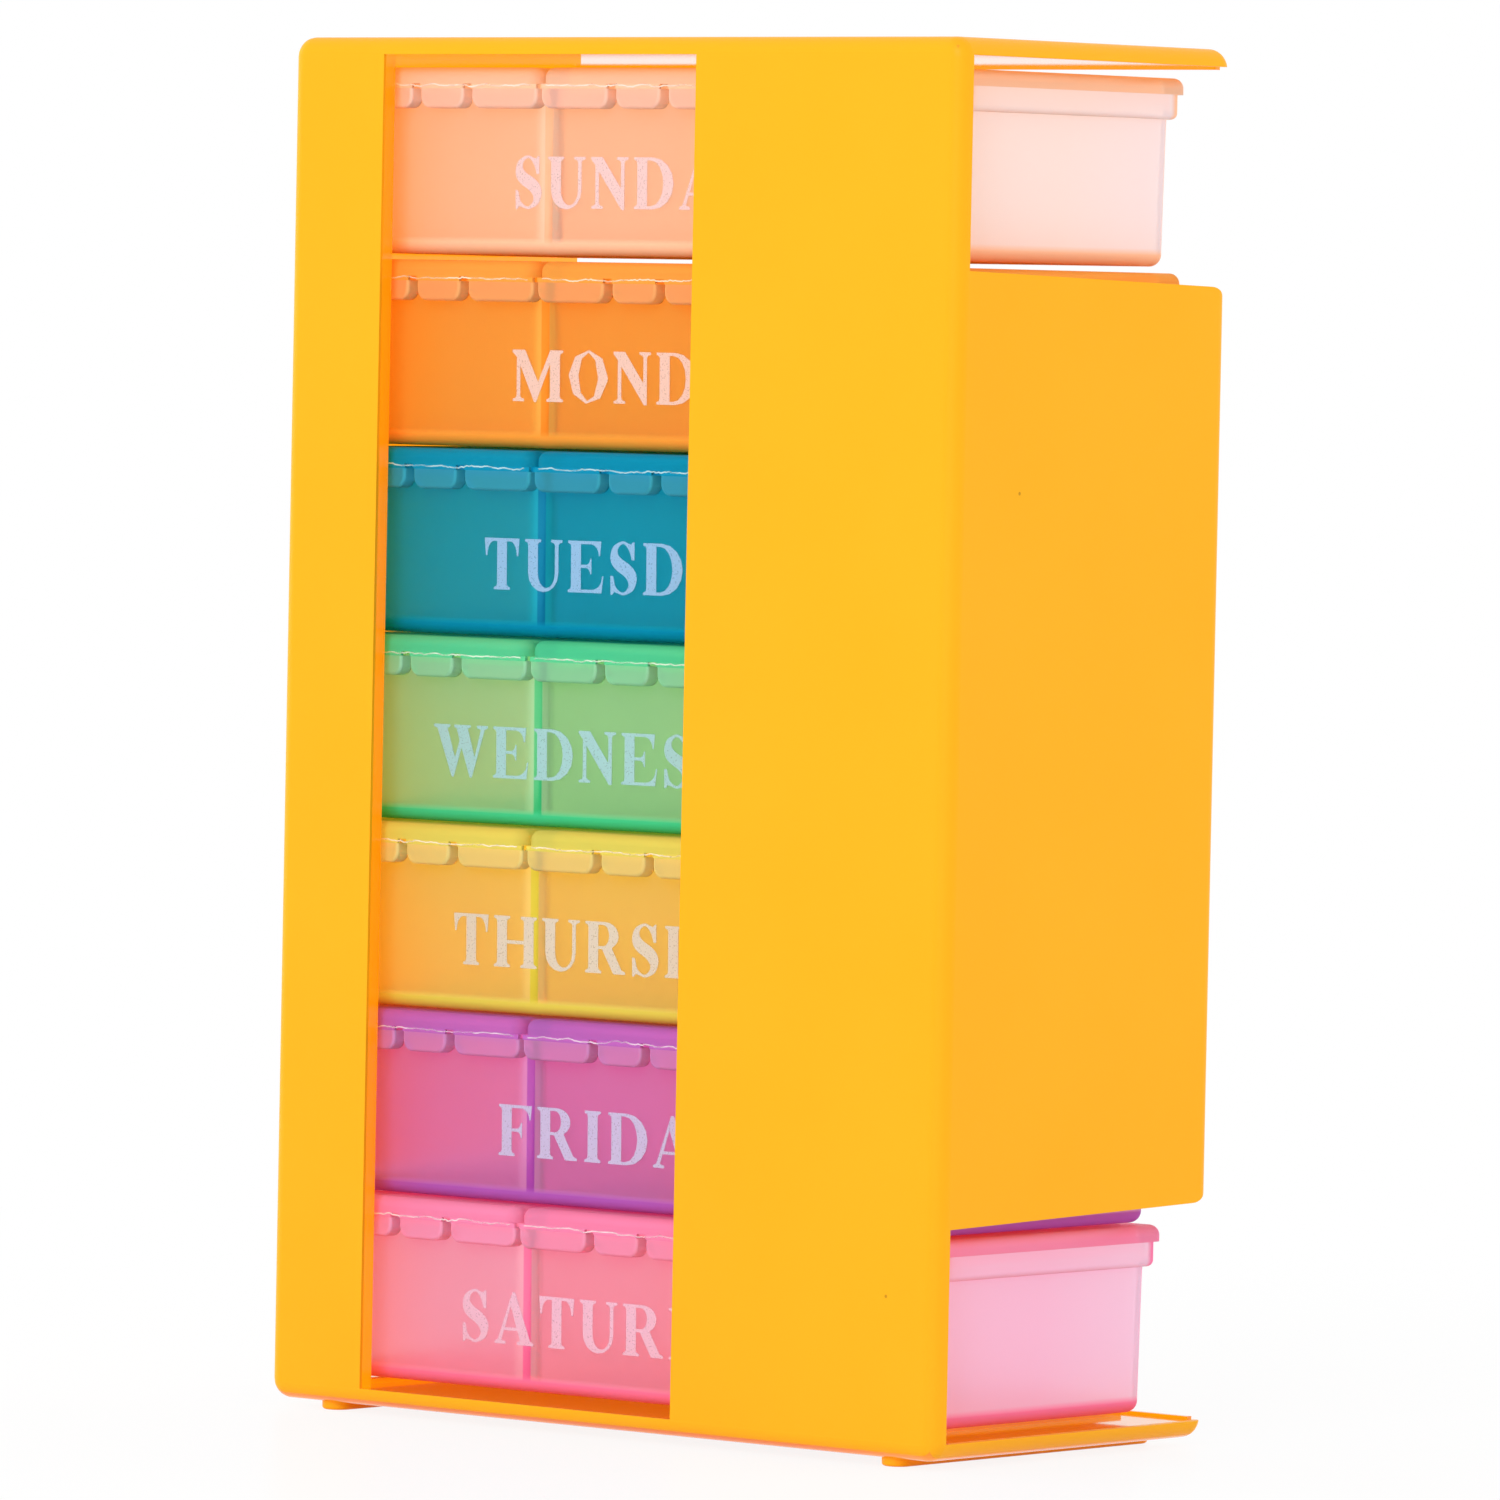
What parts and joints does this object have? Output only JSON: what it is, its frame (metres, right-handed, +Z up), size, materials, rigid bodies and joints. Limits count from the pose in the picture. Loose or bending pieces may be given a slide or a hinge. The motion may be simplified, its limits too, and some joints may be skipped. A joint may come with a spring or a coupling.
{
  "type": "weekly pill organizer",
  "caption": "Upright case, open at the back, with a stack of translucent day boxes that slide out; each box has flip lids over its compartments.",
  "frame": {"origin": "under the middle of the case, on the surface that its foot rails stand on", "axes": "+Z up, -Y towards the window side, +X to the right as seen from the window side"},
  "size_m": [0.1104, 0.0536, 0.1751],
  "materials": {
    "case_yellow": "satin moulded",
    "sunday_pp": "translucent, satin moulded",
    "monday_pp": "translucent, satin moulded",
    "tuesday_pp": "translucent, satin moulded",
    "wednesday_pp": "translucent, satin moulded",
    "thursday_pp": "translucent, satin moulded",
    "friday_pp": "translucent, satin moulded",
    "saturday_pp": "translucent, satin moulded"
  },
  "bodies": {
    "case": {"case": "case_yellow"},
    "sunday_box": {"sunday_tray": "sunday_pp", "sunday_hinge_webs": "sunday_pp"},
    "sunday_lid_left": {"sunday_lid_left": "sunday_pp"},
    "sunday_lid_middle": {"sunday_lid_middle": "sunday_pp"},
    "sunday_lid_right": {"sunday_lid_right": "sunday_pp"},
    "monday_box": {"monday_tray": "monday_pp", "monday_hinge_webs": "monday_pp"},
    "monday_lid_left": {"monday_lid_left": "monday_pp"},
    "monday_lid_middle": {"monday_lid_middle": "monday_pp"},
    "monday_lid_right": {"monday_lid_right": "monday_pp"},
    "tuesday_box": {"tuesday_tray": "tuesday_pp", "tuesday_hinge_webs": "tuesday_pp"},
    "tuesday_lid_left": {"tuesday_lid_left": "tuesday_pp"},
    "tuesday_lid_middle": {"tuesday_lid_middle": "tuesday_pp"},
    "tuesday_lid_right": {"tuesday_lid_right": "tuesday_pp"},
    "wednesday_box": {"wednesday_tray": "wednesday_pp", "wednesday_hinge_webs": "wednesday_pp"},
    "wednesday_lid_left": {"wednesday_lid_left": "wednesday_pp"},
    "wednesday_lid_middle": {"wednesday_lid_middle": "wednesday_pp"},
    "wednesday_lid_right": {"wednesday_lid_right": "wednesday_pp"},
    "thursday_box": {"thursday_tray": "thursday_pp", "thursday_hinge_webs": "thursday_pp"},
    "thursday_lid_left": {"thursday_lid_left": "thursday_pp"},
    "thursday_lid_middle": {"thursday_lid_middle": "thursday_pp"},
    "thursday_lid_right": {"thursday_lid_right": "thursday_pp"},
    "friday_box": {"friday_tray": "friday_pp", "friday_hinge_webs": "friday_pp"},
    "friday_lid_left": {"friday_lid_left": "friday_pp"},
    "friday_lid_middle": {"friday_lid_middle": "friday_pp"},
    "friday_lid_right": {"friday_lid_right": "friday_pp"},
    "saturday_box": {"saturday_tray": "saturday_pp", "saturday_hinge_webs": "saturday_pp"},
    "saturday_lid_left": {"saturday_lid_left": "saturday_pp"},
    "saturday_lid_middle": {"saturday_lid_middle": "saturday_pp"},
    "saturday_lid_right": {"saturday_lid_right": "saturday_pp"}
  },
  "joints": [
    {"name": "sunday_slide", "type": "slide", "parent": "case", "child": "sunday_box", "axis": [0, 1, 0], "range_m": [0, 0.053]},
    {"name": "sunday_left_hinge", "type": "hinge", "parent": "sunday_box", "child": "sunday_lid_left", "pos_m": [-0.0327, -0.0233, 0.169], "axis": [1, 0, 0], "range_deg": [0, 1.3]},
    {"name": "sunday_middle_hinge", "type": "hinge", "parent": "sunday_box", "child": "sunday_lid_middle", "pos_m": [0, -0.0233, 0.169], "axis": [1, 0, 0], "range_deg": [0, 1.3]},
    {"name": "sunday_right_hinge", "type": "hinge", "parent": "sunday_box", "child": "sunday_lid_right", "pos_m": [0.0327, -0.0233, 0.169], "axis": [1, 0, 0], "range_deg": [0, 1.3]},
    {"name": "monday_slide", "type": "slide", "parent": "case", "child": "monday_box", "axis": [0, 1, 0], "range_m": [0, 0.053]},
    {"name": "monday_left_hinge", "type": "hinge", "parent": "monday_box", "child": "monday_lid_left", "pos_m": [-0.0327, -0.0233, 0.14465], "axis": [1, 0, 0], "range_deg": [0, 0.8]},
    {"name": "monday_middle_hinge", "type": "hinge", "parent": "monday_box", "child": "monday_lid_middle", "pos_m": [0, -0.0233, 0.14465], "axis": [1, 0, 0], "range_deg": [0, 0.8]},
    {"name": "monday_right_hinge", "type": "hinge", "parent": "monday_box", "child": "monday_lid_right", "pos_m": [0.0327, -0.0233, 0.14465], "axis": [1, 0, 0], "range_deg": [0, 0.8]},
    {"name": "tuesday_slide", "type": "slide", "parent": "case", "child": "tuesday_box", "axis": [0, 1, 0], "range_m": [0, 0.053]},
    {"name": "tuesday_left_hinge", "type": "hinge", "parent": "tuesday_box", "child": "tuesday_lid_left", "pos_m": [-0.0327, -0.0233, 0.1208], "axis": [1, 0, 0], "range_deg": [0, 0.3]},
    {"name": "tuesday_middle_hinge", "type": "hinge", "parent": "tuesday_box", "child": "tuesday_lid_middle", "pos_m": [0, -0.0233, 0.1208], "axis": [1, 0, 0], "range_deg": [0, 0.3]},
    {"name": "tuesday_right_hinge", "type": "hinge", "parent": "tuesday_box", "child": "tuesday_lid_right", "pos_m": [0.0327, -0.0233, 0.1208], "axis": [1, 0, 0], "range_deg": [0, 0.3]},
    {"name": "wednesday_slide", "type": "slide", "parent": "case", "child": "wednesday_box", "axis": [0, 1, 0], "range_m": [0, 0.053]},
    {"name": "wednesday_left_hinge", "type": "hinge", "parent": "wednesday_box", "child": "wednesday_lid_left", "pos_m": [-0.0327, -0.0233, 0.09695], "axis": [1, 0, 0], "range_deg": [0, 0.3]},
    {"name": "wednesday_middle_hinge", "type": "hinge", "parent": "wednesday_box", "child": "wednesday_lid_middle", "pos_m": [0, -0.0233, 0.09695], "axis": [1, 0, 0], "range_deg": [0, 0.3]},
    {"name": "wednesday_right_hinge", "type": "hinge", "parent": "wednesday_box", "child": "wednesday_lid_right", "pos_m": [0.0327, -0.0233, 0.09695], "axis": [1, 0, 0], "range_deg": [0, 0.3]},
    {"name": "thursday_slide", "type": "slide", "parent": "case", "child": "thursday_box", "axis": [0, 1, 0], "range_m": [0, 0.053]},
    {"name": "thursday_left_hinge", "type": "hinge", "parent": "thursday_box", "child": "thursday_lid_left", "pos_m": [-0.0327, -0.0233, 0.0731], "axis": [1, 0, 0], "range_deg": [0, 0.3]},
    {"name": "thursday_middle_hinge", "type": "hinge", "parent": "thursday_box", "child": "thursday_lid_middle", "pos_m": [0, -0.0233, 0.0731], "axis": [1, 0, 0], "range_deg": [0, 0.3]},
    {"name": "thursday_right_hinge", "type": "hinge", "parent": "thursday_box", "child": "thursday_lid_right", "pos_m": [0.0327, -0.0233, 0.0731], "axis": [1, 0, 0], "range_deg": [0, 0.3]},
    {"name": "friday_slide", "type": "slide", "parent": "case", "child": "friday_box", "axis": [0, 1, 0], "range_m": [0, 0.053]},
    {"name": "friday_left_hinge", "type": "hinge", "parent": "friday_box", "child": "friday_lid_left", "pos_m": [-0.0327, -0.0233, 0.04925], "axis": [1, 0, 0], "range_deg": [0, 0.3]},
    {"name": "friday_middle_hinge", "type": "hinge", "parent": "friday_box", "child": "friday_lid_middle", "pos_m": [0, -0.0233, 0.04925], "axis": [1, 0, 0], "range_deg": [0, 0.3]},
    {"name": "friday_right_hinge", "type": "hinge", "parent": "friday_box", "child": "friday_lid_right", "pos_m": [0.0327, -0.0233, 0.04925], "axis": [1, 0, 0], "range_deg": [0, 0.3]},
    {"name": "saturday_slide", "type": "slide", "parent": "case", "child": "saturday_box", "axis": [0, 1, 0], "range_m": [0, 0.053]},
    {"name": "saturday_left_hinge", "type": "hinge", "parent": "saturday_box", "child": "saturday_lid_left", "pos_m": [-0.0327, -0.0233, 0.0254], "axis": [1, 0, 0], "range_deg": [0, 0.3]},
    {"name": "saturday_middle_hinge", "type": "hinge", "parent": "saturday_box", "child": "saturday_lid_middle", "pos_m": [0, -0.0233, 0.0254], "axis": [1, 0, 0], "range_deg": [0, 0.3]},
    {"name": "saturday_right_hinge", "type": "hinge", "parent": "saturday_box", "child": "saturday_lid_right", "pos_m": [0.0327, -0.0233, 0.0254], "axis": [1, 0, 0], "range_deg": [0, 0.3]}
  ]
}
